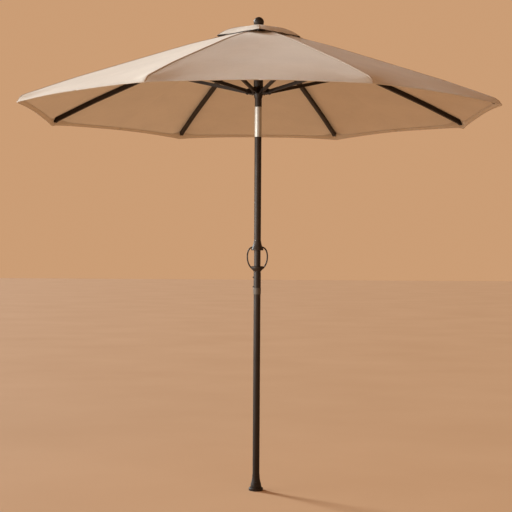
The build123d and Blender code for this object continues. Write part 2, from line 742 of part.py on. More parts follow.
STRUT_PIN_LENGTHS = [STRUT_WIDTH + 2.4, EAR_WIDTH + 1.0]


def strut_pin(distance, length):
    """One of the strut's two pins, held in its own holes."""
    with BuildPart() as pin:
        with BuildSketch(STRUT_PLANE):
            with Locations((distance, 0)):
                Circle(STRUT_PIN_R)
        extrude(amount=length / 2, both=True)
    return pin.part


strut_pieces = [
    strut_bar.part,
    strut_pin(0, STRUT_PIN_LENGTHS[0]),
    strut_pin(STRUT_LENGTH, STRUT_PIN_LENGTHS[1]),
]


# ---------------------------------------------------------------- fabric gores
def half_panel(inner, outer, half_angle, thickness):
    """One flat half of a gore, from its ridge at azimuth 0 to the middle of the panel."""
    side = cos(radians(half_angle))
    ridge = [Vector(r, 0, z) for r, z in (inner, outer)]
    middle = [Vector(r * side, 0, z).rotate(Axis.Z, half_angle) for r, z in (inner, outer)]
    inward = Vector(sin(radians(half_angle)), -side, 0) * SEWN_GAP
    corners = ridge + [middle[1] + inward, middle[0] + inward]
    normal = (corners[1] - corners[0]).cross(middle[0] - corners[0])
    face_plane = Plane(origin=corners[0], x_dir=corners[1] - corners[0], z_dir=normal)
    local = [face_plane.to_local_coords(corner) for corner in corners]
    with BuildPart() as panel:
        with BuildSketch(face_plane):
            with BuildLine():
                Polyline(*[(p.X, p.Y) for p in local], close=True)
            make_face()
        extrude(amount=-thickness)
    return panel.part


canopy_stations = [GORE_INNER_R, KNEE_RING[0], OUTER_KNEE_R, CANOPY_R]
canopy_rings = [(r, rib_line_z(r) + FABRIC_LIFT) for r in canopy_stations]
with BuildPart() as canopy_gore:
    for inner_ring, outer_ring in zip(canopy_rings, canopy_rings[1:]):
        add(half_panel(inner_ring, outer_ring, RIB_STEP / 2, FABRIC))
    mirror(about=Plane.XZ)

with BuildPart() as vent_gore:
    for inner_ring, outer_ring in zip(CAP_RINGS, CAP_RINGS[1:]):
        add(half_panel(inner_ring, outer_ring, 45, CAP_FABRIC))
    mirror(about=Plane.XZ)

# ---------------------------------------------------------------- one vent arm, at azimuth 0
ARM_TIP_R = 4.5
ARM_TIP_LENGTH = 12.0

with BuildPart() as vent_arm:
    with BuildLine(Plane.XZ) as arm_line:
        FilletPolyline(*ARM_PATH, radius=120)
    with BuildSketch(Plane(origin=arm_line.line @ 0, x_dir=(0, 1, 0), z_dir=arm_line.line % 0)):
        Rectangle(ARM_WIDTH, ARM_DEPTH)
    sweep(path=arm_line.wires()[0])
    with BuildSketch(Plane.XZ):
        with Locations(ARM_PIVOT):
            Circle(3.4)
    extrude(amount=ARM_WIDTH / 2, both=True)
    with BuildSketch(Plane.XZ):
        with Locations(ARM_PIVOT):
            Circle(ARM_PIN_R + RUN_FIT)
    extrude(amount=ARM_WIDTH, both=True, mode=Mode.SUBTRACT)
arm_end = arm_line.line @ 1
arm_dir = arm_line.line % 1

with BuildPart() as arm_tip:
    with BuildSketch(Plane(origin=arm_end, z_dir=arm_dir)):
        Circle(ARM_TIP_R)
    extrude(amount=ARM_TIP_LENGTH)
    fillet(arm_tip.edges().filter_by(GeomType.CIRCLE), 1.5)

# ---------------------------------------------------------------- the rings of repeated parts
rib_pieces = [rib_bar.part, tip_cap.part, strut_bracket.part]
for number, turn in enumerate(rib_turns, start=1):
    save_node(f"rib_{number}", rib_pieces, turn)
    save_node(f"strut_{number}", strut_pieces, turn)
    save_node(f"canopy_gore_{number}", [canopy_gore.part], turn)
for number, turn in enumerate(arm_turns, start=1):
    save_node(f"vent_arm_{number}", [vent_arm.part, arm_tip.part], turn)
    save_node(f"vent_gore_{number}", [vent_gore.part], turn)
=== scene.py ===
import json
from math import atan2, cos, pi, radians, sin

import bpy
import numpy as np
from mathutils import Matrix


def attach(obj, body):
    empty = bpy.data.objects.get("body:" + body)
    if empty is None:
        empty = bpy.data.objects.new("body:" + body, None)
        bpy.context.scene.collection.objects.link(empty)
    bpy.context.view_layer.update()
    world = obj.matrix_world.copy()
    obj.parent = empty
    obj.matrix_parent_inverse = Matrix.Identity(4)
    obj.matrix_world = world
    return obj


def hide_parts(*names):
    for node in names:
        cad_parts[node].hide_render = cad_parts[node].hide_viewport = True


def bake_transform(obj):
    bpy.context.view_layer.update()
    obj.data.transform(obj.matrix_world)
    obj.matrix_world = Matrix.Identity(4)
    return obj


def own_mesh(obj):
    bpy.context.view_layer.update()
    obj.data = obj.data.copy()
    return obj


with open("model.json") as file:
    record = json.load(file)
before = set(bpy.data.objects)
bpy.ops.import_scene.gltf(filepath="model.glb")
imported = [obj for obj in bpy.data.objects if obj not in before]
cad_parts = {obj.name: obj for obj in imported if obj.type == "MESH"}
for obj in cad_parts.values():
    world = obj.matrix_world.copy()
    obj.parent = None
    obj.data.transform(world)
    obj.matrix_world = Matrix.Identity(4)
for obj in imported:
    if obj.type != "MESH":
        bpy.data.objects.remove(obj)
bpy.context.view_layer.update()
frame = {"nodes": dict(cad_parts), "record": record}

RECORD = frame["record"]

# ---------------------------------------------------------------- camera
CAMERA_HEIGHT = 1.284
CAMERA_DISTANCE = 6.579
CAMERA_ASIDE = -0.0072
CAMERA_ROLL = 0.36
CAMERA_PITCH = 0.03
FOCAL_LENGTH = 84.1
SENSOR_WIDTH = 36
FAR_CLIP = 200

camera = bpy.data.objects.new("camera", bpy.data.cameras.new("camera"))
camera.data.lens = FOCAL_LENGTH
camera.data.sensor_width = SENSOR_WIDTH
camera.data.clip_end = FAR_CLIP
camera.matrix_world = (
    Matrix.Translation((CAMERA_ASIDE, -CAMERA_DISTANCE, CAMERA_HEIGHT))
    @ Matrix.Rotation(radians(90 + CAMERA_PITCH), 4, "X")
    @ Matrix.Rotation(radians(CAMERA_ROLL), 4, "Z")
)
bpy.context.scene.collection.objects.link(camera)
bpy.context.scene.camera = camera
bpy.context.scene.view_settings.view_transform = "Standard"


# ---------------------------------------------------------------- lights
COOL = (0.9, 0.98, 1.0)
NEUTRAL = (1.0, 0.98, 0.95)
WARM = (1.0, 0.7, 0.46)


def lamp(name, kind, energy, colour, towards, place=(0, 0, 0), **settings):
    """A light whose beam comes from the direction towards."""
    data = bpy.data.lights.new(name, kind)
    data.energy = energy
    data.color = colour
    for key, value in settings.items():
        setattr(data, key, value)
    light = bpy.data.objects.new(name, data)
    light.location = place
    x, y, z = towards
    light.rotation_euler = (atan2((x * x + y * y) ** 0.5, z), 0, atan2(y, x) + pi / 2)
    bpy.context.scene.collection.objects.link(light)
    return light


lamp("key", "SUN", 4.0, COOL, (-0.65, 0.65, 0.39), angle=radians(14))
lamp("side", "SUN", 2.75, COOL, (-0.98, -0.12, 0.1), angle=radians(60))
softbox = lamp(
    "softbox",
    "AREA",
    13,
    NEUTRAL,
    (-0.9, -0.44, -0.1),
    (-3.3, -1.6, 1.3),
    shape="RECTANGLE",
    size=0.6,
    size_y=1.3,
    spread=radians(42),
)
softbox.visible_camera = False
lamp("fill", "SUN", 0.25, WARM, (0.5, -1.0, 0.35), angle=radians(50))


# ---------------------------------------------------------------- node helpers
def add(tree, kind, settings=None, **inputs):
    """A shader node with its settings and its input values or links.

    An input is named as in Blender, or by its number after an underscore.
    """
    node = tree.nodes.new(kind)
    for key, value in (settings or {}).items():
        setattr(node, key, value)
    for key, value in inputs.items():
        socket = node.inputs[int(key[1:]) if key[0] == "_" else key.replace("_", " ")]
        if isinstance(value, bpy.types.NodeSocket):
            tree.links.new(value, socket)
        else:
            socket.default_value = value
    return node


def noise(tree, coords, scale, detail=3, stretch=(1, 1, 1)):
    """A noise value, stretched along some axes."""
    mapped = add(tree, "ShaderNodeMapping", Vector=coords, Scale=stretch)
    made = add(tree, "ShaderNodeTexNoise", Vector=mapped.outputs[0], Scale=scale, Detail=detail)
    return made.outputs[0]


BANDS_PER_METRE = 20 / (2 * pi)  # of a wave texture at scale 1


def wave(tree, coords, direction, period):
    """Even bands across one direction, with that period in metres."""
    made = add(
        tree,
        "ShaderNodeTexWave",
        {"wave_type": "BANDS", "bands_direction": direction},
        Vector=coords,
        Scale=1 / (BANDS_PER_METRE * period),
    )
    return made.outputs[1]


def math(tree, operation, a, b):
    """The result of an operation on two values."""
    return add(tree, "ShaderNodeMath", {"operation": operation}, _0=a, _1=b).outputs[0]


def ramp(tree, value, stops):
    """A colour ramp over a value."""
    node = add(tree, "ShaderNodeValToRGB", Fac=value)
    elements = node.color_ramp.elements
    while len(elements) < len(stops):
        elements.new(0.5)
    for element, (place, colour) in zip(elements, stops):
        element.position = place
        element.color = (*colour, 1)
    return node.outputs[0]


def mix(tree, factor, a, b):
    """A colour between two colours."""
    node = add(tree, "ShaderNodeMix", {"data_type": "RGBA"})
    for index, value in ((0, factor), (6, a), (7, b)):
        if isinstance(value, bpy.types.NodeSocket):
            tree.links.new(value, node.inputs[index])
        else:
            node.inputs[index].default_value = value if index == 0 else (*value, 1)
    return node.outputs[2]


def new_material(name):
    """An empty material, its node tree and its shader."""
    made = bpy.data.materials.new(name)
    made.use_nodes = True
    tree = made.node_tree
    return made, tree, tree.nodes["Principled BSDF"]


def bump(tree, height, strength, distance, normal=None):
    """A surface direction that follows a height."""
    node = add(tree, "ShaderNodeBump", Height=height, Strength=strength, Distance=distance)
    if normal is not None:
        tree.links.new(normal, node.inputs["Normal"])
    return node.outputs[0]


def shade(colour, factor):
    """A colour made lighter or darker."""
    return tuple(min(1.0, c * factor) for c in colour)


# ---------------------------------------------------------------- materials
def canvas(name, colour, translucent, period=0.0016):
    """Woven canvas: threads both ways, slubs along them and a faint cloud of uneven dye."""
    made, tree, bsdf = new_material(name)
    uv = add(tree, "ShaderNodeTexCoord").outputs["UV"]
    cloud = noise(tree, uv, 5.0, 4)
    warp = noise(tree, uv, 40.0, 2, (9, 0.5, 1))
    weft = noise(tree, uv, 40.0, 2, (0.5, 9, 1))
    threads = math(tree, "ADD", warp, weft)
    base = ramp(tree, cloud, [(0.3, shade(colour, 0.95)), (0.7, shade(colour, 1.03))])
    mean_thread = math(tree, "MULTIPLY", threads, 0.5)
    thread_tone = ramp(tree, mean_thread, [(0.38, (0.93, 0.92, 0.9)), (0.62, (1, 1, 1))])
    toned = add(tree, "ShaderNodeMix", {"data_type": "RGBA", "blend_type": "MULTIPLY"})
    toned.inputs[0].default_value = 0.8
    tree.links.new(base, toned.inputs[6])
    tree.links.new(thread_tone, toned.inputs[7])
    tree.links.new(toned.outputs[2], bsdf.inputs["Base Color"])
    weave = math(tree, "MULTIPLY", wave(tree, uv, "X", period), wave(tree, uv, "Y", period))
    coarse = bump(tree, threads, 0.25, 0.0012)
    tree.links.new(bump(tree, weave, 0.35, 0.0004, coarse), bsdf.inputs["Normal"])
    bsdf.inputs["Roughness"].default_value = 0.92
    bsdf.inputs["Specular IOR Level"].default_value = 0.18
    bsdf.inputs["Sheen Weight"].default_value = 0.12
    bsdf.inputs["Sheen Roughness"].default_value = 0.5
    if translucent:
        glow = (colour[0] * 0.9, colour[1] * 0.74, colour[2] * 0.56, 1)
        through = add(tree, "ShaderNodeBsdfTranslucent", Color=glow)
        both = add(tree, "ShaderNodeMixShader", Fac=translucent)
        tree.links.new(bsdf.outputs[0], both.inputs[1])
        tree.links.new(through.outputs[0], both.inputs[2])
        tree.links.new(both.outputs[0], tree.nodes["Material Output"].inputs[0])
    return made


def coated(name, colour, metallic, roughness, grain, scuff):
    """A painted or moulded surface: fine orange peel, uneven gloss and faint scuffs."""
    made, tree, bsdf = new_material(name)
    place = add(tree, "ShaderNodeTexCoord").outputs["Object"]
    broad = noise(tree, place, 9.0, 4)
    peel = noise(tree, place, grain, 2)
    scuffs = noise(tree, place, 60.0, 6, (1, 1, 0.12))
    tone = ramp(tree, broad, [(0.3, shade(colour, 0.85)), (0.7, shade(colour, 1.15))])
    worn = ramp(tree, scuffs, [(0.62, (0, 0, 0)), (0.74, (1, 1, 1))])
    worn_colour = tuple(0.75 * c + 0.125 for c in colour)
    amount = math(tree, "MULTIPLY", worn, scuff)
    tree.links.new(mix(tree, amount, tone, worn_colour), bsdf.inputs["Base Color"])
    gloss = ramp(tree, scuffs, [(0.3, (roughness * 0.9,) * 3), (0.75, (roughness * 1.2,) * 3)])
    tree.links.new(gloss, bsdf.inputs["Roughness"])
    tree.links.new(bump(tree, peel, 0.12, 0.0003), bsdf.inputs["Normal"])
    bsdf.inputs["Metallic"].default_value = metallic
    bsdf.inputs["Specular IOR Level"].default_value = 0.26
    return made


def brushed(name, colour, roughness, metallic=1.0):
    """Bare metal drawn along its length, with fine lines and a little tarnish."""
    made, tree, bsdf = new_material(name)
    place = add(tree, "ShaderNodeTexCoord").outputs["Object"]
    lines = noise(tree, place, 420.0, 3, (1, 1, 0.02))
    tarnish = noise(tree, place, 22.0, 5)
    tone = ramp(tree, tarnish, [(0.3, shade(colour, 0.86)), (0.7, colour)])
    tree.links.new(tone, bsdf.inputs["Base Color"])
    gloss = ramp(tree, lines, [(0.3, (roughness * 0.8,) * 3), (0.7, (roughness * 1.25,) * 3)])
    tree.links.new(gloss, bsdf.inputs["Roughness"])
    tree.links.new(bump(tree, lines, 0.08, 0.0002), bsdf.inputs["Normal"])
    bsdf.inputs["Metallic"].default_value = metallic
    return made


def braided(name, colour):
    """Braided line, from its own UVs: strands that cross on the slant."""
    made, tree, bsdf = new_material(name)
    uv = add(tree, "ShaderNodeTexCoord").outputs["UV"]
    strand_sets = []
    for slant in (38, -38):
        slanted = add(tree, "ShaderNodeMapping", Vector=uv, Rotation=(0, 0, radians(slant))).outputs[0]
        strand_sets.append(wave(tree, slanted, "X", 0.0013))
    strands = math(tree, "MULTIPLY", *strand_sets)
    # the strands lighter on their crowns and darker in the grooves between them: painted highlight and
    # painted shade
    tone = ramp(tree, strands, [(0.05, shade(colour, 0.5)), (0.6, shade(colour, 1.4))])
    tree.links.new(tone, bsdf.inputs["Base Color"])
    tree.links.new(bump(tree, strands, 0.6, 0.0004), bsdf.inputs["Normal"])
    bsdf.inputs["Roughness"].default_value = 0.8
    return made


CANVAS_COLOUR = (0.79, 0.73, 0.645)
CANVAS = canvas("canvas", CANVAS_COLOUR, 0.07)
# darker canvas for the ridge seams and the crown hem: painted shade, standing in for the shadow line beside
# a seam and the shade round the vent gap
PAINTED_SHADE_CANVAS = canvas("canvas_painted_shade", (0.6, 0.49, 0.39), 0)
THREAD = canvas("canvas_thread", shade(CANVAS_COLOUR, 0.8), 0, 0.0005)
# a near-black hem binding for the vent cap: painted shade, standing in for the shadow in the gap under the
# cap's edge
PAINTED_SHADE_BINDING = canvas("binding_painted_shade", (0.05, 0.033, 0.024), 0)
BRONZE = coated("bronze_paint", (0.024, 0.0165, 0.0115), 0.05, 0.52, 1400.0, 0.1)
COLLAR = coated("grey_collar", (0.082, 0.07, 0.057), 0.1, 0.5, 900.0, 0.2)
PLASTIC = coated("black_plastic", (0.02, 0.019, 0.018), 0.0, 0.5, 700.0, 0.1)
ALUMINIUM = brushed("bare_aluminium", (0.45, 0.445, 0.41), 0.42, 0.3)
STEEL = brushed("steel", (0.58, 0.57, 0.55), 0.34)
CORD = braided("cord", (0.05, 0.045, 0.04))
BY_SLOT = {
    "canvas": CANVAS,
    "bronze_paint": BRONZE,
    "grey_collar": COLLAR,
    "black_plastic": PLASTIC,
    "bare_aluminium": ALUMINIUM,
    "steel": STEEL,
    "cord": CORD,
}
for part in RECORD["subparts"]:
    for entry in frame["nodes"][part["node"]].material_slots:
        entry.link = "OBJECT"
        entry.material = BY_SLOT[part["material_slot"]]
for entry in frame["nodes"]["foot_set_screw"].material_slots:
    entry.material = BRONZE

# the softbox is for the metalwork alone
metalwork = bpy.data.collections.new("metalwork")
for part in RECORD["subparts"]:
    if part["material_slot"] != "canvas":
        metalwork.objects.link(frame["nodes"][part["node"]])
softbox.light_linking.receiver_collection = metalwork


# ---------------------------------------------------------------- mesh helpers
def piece(name, points, faces, material, uv=None):
    """A smooth mesh object. uv has one pair in metres for each point."""
    mesh = bpy.data.meshes.new(name)
    mesh.from_pydata([tuple(p) for p in points], [], [tuple(int(i) for i in f) for f in faces])
    mesh.polygons.foreach_set("use_smooth", [True] * len(mesh.polygons))
    if uv is not None:
        layer = mesh.uv_layers.new(name="UVMap")
        corner = np.zeros(len(mesh.loops), np.int32)
        mesh.loops.foreach_get("vertex_index", corner)
        layer.data.foreach_set("uv", np.asarray(uv, np.float32)[corner].ravel())
    mesh.materials.append(material)
    mesh.validate()
    mesh.update()
    made = bpy.data.objects.new(name, mesh)
    bpy.context.scene.collection.objects.link(made)
    return made


def grid_faces(rows, columns, closed=False):
    """Quads of a grid of points, which may close across its columns."""
    faces = []
    for r in range(rows - 1):
        for c in range(columns if closed else columns - 1):
            d = (c + 1) % columns
            faces.append((r * columns + c, r * columns + d, (r + 1) * columns + d, (r + 1) * columns + c))
    return faces


def turned(points, azimuth):
    """Points turned about the pole."""
    c, s = cos(azimuth), sin(azimuth)
    x, y, z = points[..., 0], points[..., 1], points[..., 2]
    return np.stack([x * c - y * s, x * s + y * c, z], axis=-1)


def ease(x):
    """A smooth step from 0 to 1."""
    x = np.clip(x, 0, 1)
    return x * x * (3 - 2 * x)


def beyond(x, start, softness):
    """How far x is past start, with a soft bend there."""
    return softness * np.logaddexp(0, (x - start) / softness)


def towards_side(t):
    """0 on the ridge and 1 at the sides, flat at the sides."""
    return 1 - (1 - np.abs(t)) ** 2


# ---------------------------------------------------------------- cloth surfaces
class Cloth:
    """One kind of gore: a surface over a rib or arm, from its inner edge to its rim.

    rho runs outward along the ridge and t runs from -1 to 1 across the gore. At t = -1 and 1 it
    meets the next gore on the middle line of a panel. half is half the gore's angle, inner its
    inner radius, corner and middle the rho of its rim on the ridge and at its sides, and rounding
    the radius of its ridge.
    """

    STEP = 0.0008  # for the surface's directions

    def __init__(self, half, inner, corner, middle, rounding):
        self.inner = inner
        self.corner = corner
        self.middle = middle
        self.rounding = rounding
        self.near = cos(half) ** 2
        self.across = cos(half) * sin(half)

    def rim(self, t):
        """rho of the rim."""
        return self.middle + (self.corner - self.middle) * (1 - np.abs(t)) ** 2

    def at(self, azimuth, rho, t):
        """Points of the surface in the row frame."""
        rho, t = np.broadcast_arrays(np.asarray(rho, float), np.asarray(t, float))
        small = self.rounding / (self.across * rho)
        soft = np.sqrt(t * t + small**2) - np.sqrt(1 + small**2) + 1
        x = rho * (1 - (1 - self.near) * soft)
        flat = turned(np.stack([x, rho * self.across * t, self.height(azimuth, rho, t)], -1), azimuth)
        flat[..., 2] += self.wrinkle(flat, rho, t)
        return flat

    def frame_at(self, azimuth, rho, t):
        """Points, outward directions, directions across and upward normals."""
        dt = self.STEP / (self.across * rho)
        here = self.at(azimuth, rho, t)
        out = self.at(azimuth, rho + self.STEP, t) - self.at(azimuth, rho - self.STEP, t)
        over = self.at(azimuth, rho, t + dt) - self.at(azimuth, rho, t - dt)
        out /= np.linalg.norm(out, axis=-1, keepdims=True)
        over /= np.linalg.norm(over, axis=-1, keepdims=True)
        up = np.cross(out, over)
        up /= np.linalg.norm(up, axis=-1, keepdims=True)
        return here, out, over, up

    def lateral(self, rho, t):
        """Distance across from the ridge."""
        return rho * self.across * t


class Canopy(Cloth):
    """The main canopy: a shallow cone that the ribs bow and the panels sag between."""

    KNEE = 0.409
    KNEE_Z = 2.422
    INNER_SLOPE = 0.297
    EXTRA_SLOPE = 0.053  # added past the knee
    OUTER_KNEE = 1.05
    OUTER_EXTRA_SLOPE = 0.04
    BEND = 0.03  # softness of the knees
    SAG = 0.0175  # of a panel's middle line at its outer end
    SAG_RUN = 0.916
    RIM_Z = 2.0672
    RIM_RISE = 0.0068
    CAP_END = 1.307  # end of a rib's tip cap
    TIP_DROP = 0.006
    BACK_DROP = 0.008
    BACK_REACH = 1.2
    TURN_DOWN = 0.26  # width of the edge that the hem draws down
    CORNER_WIDTH = 0.3  # share of a gore that its corner holds

    def base(self, rho, t):
        """Height without the turned-down edge."""
        past = beyond(rho, self.KNEE, self.BEND)
        bow = self.OUTER_EXTRA_SLOPE * beyond(rho, self.OUTER_KNEE, self.BEND)
        sag = self.SAG * towards_side(t) * past / self.SAG_RUN
        return self.KNEE_Z - self.INNER_SLOPE * (rho - self.KNEE) - self.EXTRA_SLOPE * past - bow - sag

    def height(self, azimuth, rho, t):
        """Height, with the edge drawn down to the rim's height."""
        side = towards_side(t)
        rim = self.rim(t)
        ahead, over = rim * (1 - (1 - self.near) * np.abs(t)), rim * self.across * t
        back = np.clip((ahead * sin(azimuth) + over * cos(azimuth)) / self.BACK_REACH, 0, 1)
        rim_z = self.RIM_Z + self.RIM_RISE * side - self.TIP_DROP * (1 - side) - self.BACK_DROP * back
        drop = self.base(rim, t) - rim_z
        away = ease(np.abs(t) / self.CORNER_WIDTH)
        reach = 1.5 * (self.corner - self.CAP_END) * (1 - away) + self.TURN_DOWN * away
        share = np.clip((rho - rim + reach) / reach, 0, 1.1)
        return self.base(rho, t) - drop * share ** (3 - 0.8 * away)

    def wrinkle(self, points, rho, t):
        """Billows, folds that fan from a corner, and one slack place at the right of the front."""
        x, y = points[..., 0], points[..., 1]
        side = towards_side(t)
        billow = np.sin(3.7 * x + 1.3) * np.sin(4.3 * y + 0.4) + 0.5 * np.sin(9.1 * x - 6.3 * y)
        billow *= ease((rho - 0.3) / 0.3) * side
        to_corner = self.corner + 0.02 - rho
        angle = np.arctan2(self.lateral(rho, np.abs(t)), to_corner)
        span = np.hypot(self.lateral(rho, t), to_corner)
        fan = np.sin(13 * angle + 1.7 * np.sin(5 * x)) * np.exp(-span / 0.3) * ease(span / 0.12)
        fan *= (1 - side) * ease(np.abs(t) * 9)
        slack = np.exp(-((x - 0.14) ** 2 + (y + 0.14) ** 2) / 0.012) * side
        return 0.0014 * billow + 0.0011 * fan - 0.014 * slack


class VentCap(Cloth):
    """The square cap over the vent, drawn down over four bent arms."""

    TOP_Z = 2.5522
    DROP = 0.0529
    TENT = 0.03  # slope round the finial
    TENT_START = 0.015
    CREST = 0.05
    CREST_BEND = 0.006
    EDGE = 0.236
    CORNER_LIFT = {0: -0.001, 2: 0.006}
    CORNER_POWER = {3: 1.08}  # how late each ridge curves down
    USUAL_CORNER_POWER = 2.7
    SIDE_POWER = 1.7

    def height(self, azimuth, rho, t):
        """Height: a low tent that curves down past its crest."""
        side = towards_side(t)
        number = round(azimuth / (pi / 2))
        corner = self.CORNER_LIFT.get(number, 0.0) * (rho / self.EDGE) ** 3 * (1 - side)
        power = self.CORNER_POWER.get(number, self.USUAL_CORNER_POWER) * (1 - side) + self.SIDE_POWER * side
        out = beyond(rho, self.CREST, self.CREST_BEND) / (self.EDGE - self.CREST)
        return self.TOP_Z - self.TENT * (rho - self.TENT_START) - self.DROP * out**power + corner

    def wrinkle(self, points, rho, t):
        """Faint unevenness that grows towards the edge."""
        x, y = points[..., 0], points[..., 1]
        out = ease(rho / 0.2)
        broad = np.sin(31 * x + 0.8) * np.sin(27 * y + 2.1)
        fine = towards_side(t) * np.sin(60 * (x + y))
        return 0.0012 * out * (broad + fine)


def across_gore(columns):
    """Values of t, closer together near the ridge."""
    u = np.linspace(-1, 1, columns)
    return np.sign(u) * np.abs(u) ** 1.35


def sheet_of(cloth, name, azimuth, rows, columns):
    """The gore's own cloth, one layer thick, with its flat area."""
    t = across_gore(columns)
    k = 1 - (1 - np.linspace(0, 1, rows)) ** 1.3
    rho = cloth.inner + (cloth.rim(t) - cloth.inner)[None, :] * k[:, None]
    t = np.broadcast_to(t, rho.shape)
    points = cloth.at(azimuth, rho, t)
    uv = np.stack([cloth.lateral(rho, t) + 2 * azimuth, rho], -1).reshape(-1, 2)
    made = piece(name, points.reshape(-1, 3), grid_faces(rows, columns), CANVAS, uv)
    # the cut panel is the same shape laid flat along its slope
    a, b = points[1:] - points[:-1], points[:, 1:] - points[:, :-1]
    area = float(np.linalg.norm(np.cross(a[:, :-1], b[:-1]), axis=-1).sum())
    length = float(np.linalg.norm(a[:, columns // 2], axis=-1).sum())
    width = float(np.linalg.norm(b[-1], axis=-1).sum())
    return made, (round(width, 3), round(length, 3)), round(area, 4)


def band(name, loops, uv, material):
    """A closed strip with ends: one loop of points for each place along it."""
    loops = np.asarray(loops, float)
    rows, columns = loops.shape[:2]
    faces = grid_faces(rows, columns, True)
    faces.append(tuple(range(columns - 1, -1, -1)))
    faces.append(tuple((rows - 1) * columns + c for c in range(columns)))
    return piece(name, loops.reshape(-1, 3), faces, material, np.asarray(uv, float).reshape(-1, 2))


def hem_of(cloth, name, azimuth, width, columns, inner=False, material=CANVAS):
    """The folded hem along the rim, or round the inner edge: a lip on top and a band below."""
    # each point of the section is its distance inward from the edge and its lift off the cloth
    section = [
        (0.004, 0.0002),
        (0.004, 0.001),
        (0.0, 0.0011),
        (-0.0018, 0.0),
        (-0.0018, -0.0014),
        (0.0, -0.0024),
        (width, -0.0024),
        (width + 0.0012, -0.0014),
        (width, -0.0005),
        (0.002, -0.0005),
    ]
    t = across_gore(columns)
    edge = np.full_like(t, cloth.inner) if inner else cloth.rim(t)
    loops, uv = [], []
    for inward, lift in section if not inner else reversed(section):
        rho = edge + inward if inner else edge - inward
        here, _, _, up = cloth.frame_at(azimuth, rho, t)
        loops.append(here + up * lift)
        uv.append(np.stack([cloth.lateral(edge, t), np.full_like(t, inward + lift)], -1))
    return band(name, np.swapaxes(loops, 0, 1), np.swapaxes(uv, 0, 1), material)


SEAM_ASIDE = 0.35  # in half widths


def seam_of(cloth, name, azimuth, half_width, height, rows):
    """The felled seam along the ridge, raised and a little to one side, in darker canvas whose darkness is
    painted shade.
    """
    # each point of the section is its place across, in half widths, and its share of the height
    section = [
        (-1, 0.05),
        (-0.8, 0.75),
        (-0.25, 1.0),
        (0.35, 1.0),
        (0.85, 0.7),
        (1, 0.0),
        (0.6, -0.2),
        (-0.6, -0.2),
    ]
    rho = np.linspace(cloth.inner + 0.002, cloth.corner - 0.001, rows)
    loops, uv = [], []
    for across, lift in section:
        offset = half_width * (across + SEAM_ASIDE)
        here, _, _, up = cloth.frame_at(azimuth, rho, offset / (cloth.across * rho))
        loops.append(here + up * (lift * height))
        uv.append(np.stack([np.full_like(rho, offset), rho], -1))
    return band(name, np.swapaxes(loops, 0, 1)[:, ::-1], np.swapaxes(uv, 0, 1)[:, ::-1], PAINTED_SHADE_CANVAS)


STITCH_PITCH = 0.009
STITCH_LENGTH = 0.0058
STITCH_HALF_WIDTH = 0.0007
STITCH_HEIGHT = 0.0005
STITCH_UV = [(0.003, 0), (-0.003, 0), (0, 0.0007), (0, -0.0007), (0, 0), (0, 0.001)]


def stitches(name, rows):
    """Rows of stitches. Each row is a list of (point, direction along, direction up)."""
    points, faces, uv = [], [], []
    for row in rows:
        for at, along, up in row:
            side = np.cross(up, along)
            n = len(points)
            ends = [along * STITCH_LENGTH / 2, -along * STITCH_LENGTH / 2]
            sides = [side * STITCH_HALF_WIDTH, -side * STITCH_HALF_WIDTH]
            points += [at + d for d in (*ends, *sides, up * STITCH_HEIGHT, -up * STITCH_HEIGHT)]
            uv += STITCH_UV
            for a, b in ((0, 2), (2, 1), (1, 3), (3, 0)):
                faces += [(n + a, n + b, n + 4), (n + b, n + a, n + 5)]
    return piece(name, points, faces, THREAD, uv)


RIM_SAMPLES = 400


def along_rim(cloth, azimuth, inward, lift):
    """Places of a row of stitches beside the rim."""
    t = np.linspace(-1, 1, RIM_SAMPLES)
    rho = cloth.rim(t) - inward
    line = cloth.at(azimuth, rho, t)
    gone = np.concatenate([[0], np.cumsum(np.linalg.norm(np.diff(line, axis=0), axis=1))])
    count = int(gone[-1] / STITCH_PITCH)
    places = (np.arange(count) + 0.5) * gone[-1] / count
    t = np.interp(places, gone, t)
    rho = np.interp(places, gone, rho)
    here, _, over, up = cloth.frame_at(azimuth, rho, t)
    return list(zip(here + up * lift, over, up))


def along_ridge(cloth, azimuth, offset, lift, margin):
    """Places of a row of stitches beside the ridge seam."""
    count = int((cloth.corner - cloth.inner - margin) / STITCH_PITCH)
    rho = cloth.inner + margin / 2 + (np.arange(count) + 0.5) * STITCH_PITCH
    here, out, _, up = cloth.frame_at(azimuth, rho, offset / (cloth.across * rho))
    return list(zip(here + up * lift, out, up))


def fit(made, body):
    """A soft piece rides its rib or arm, on a mesh of its own."""
    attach(made, body)
    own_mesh(made)
    return made


TOP_THREAD = 0.0003  # lift of the stitches on the cloth
HEM_THREAD = -0.0025  # and under its hem

# ---------------------------------------------------------------- canopy
CANOPY_INNER = 0.131
CANOPY_MIDDLE = 1.332
CORNERS = {1: 1.322, 4: 1.326, 5: 1.331}
USUAL_CORNER = 1.342
RIDGE_ROUNDING = 0.012


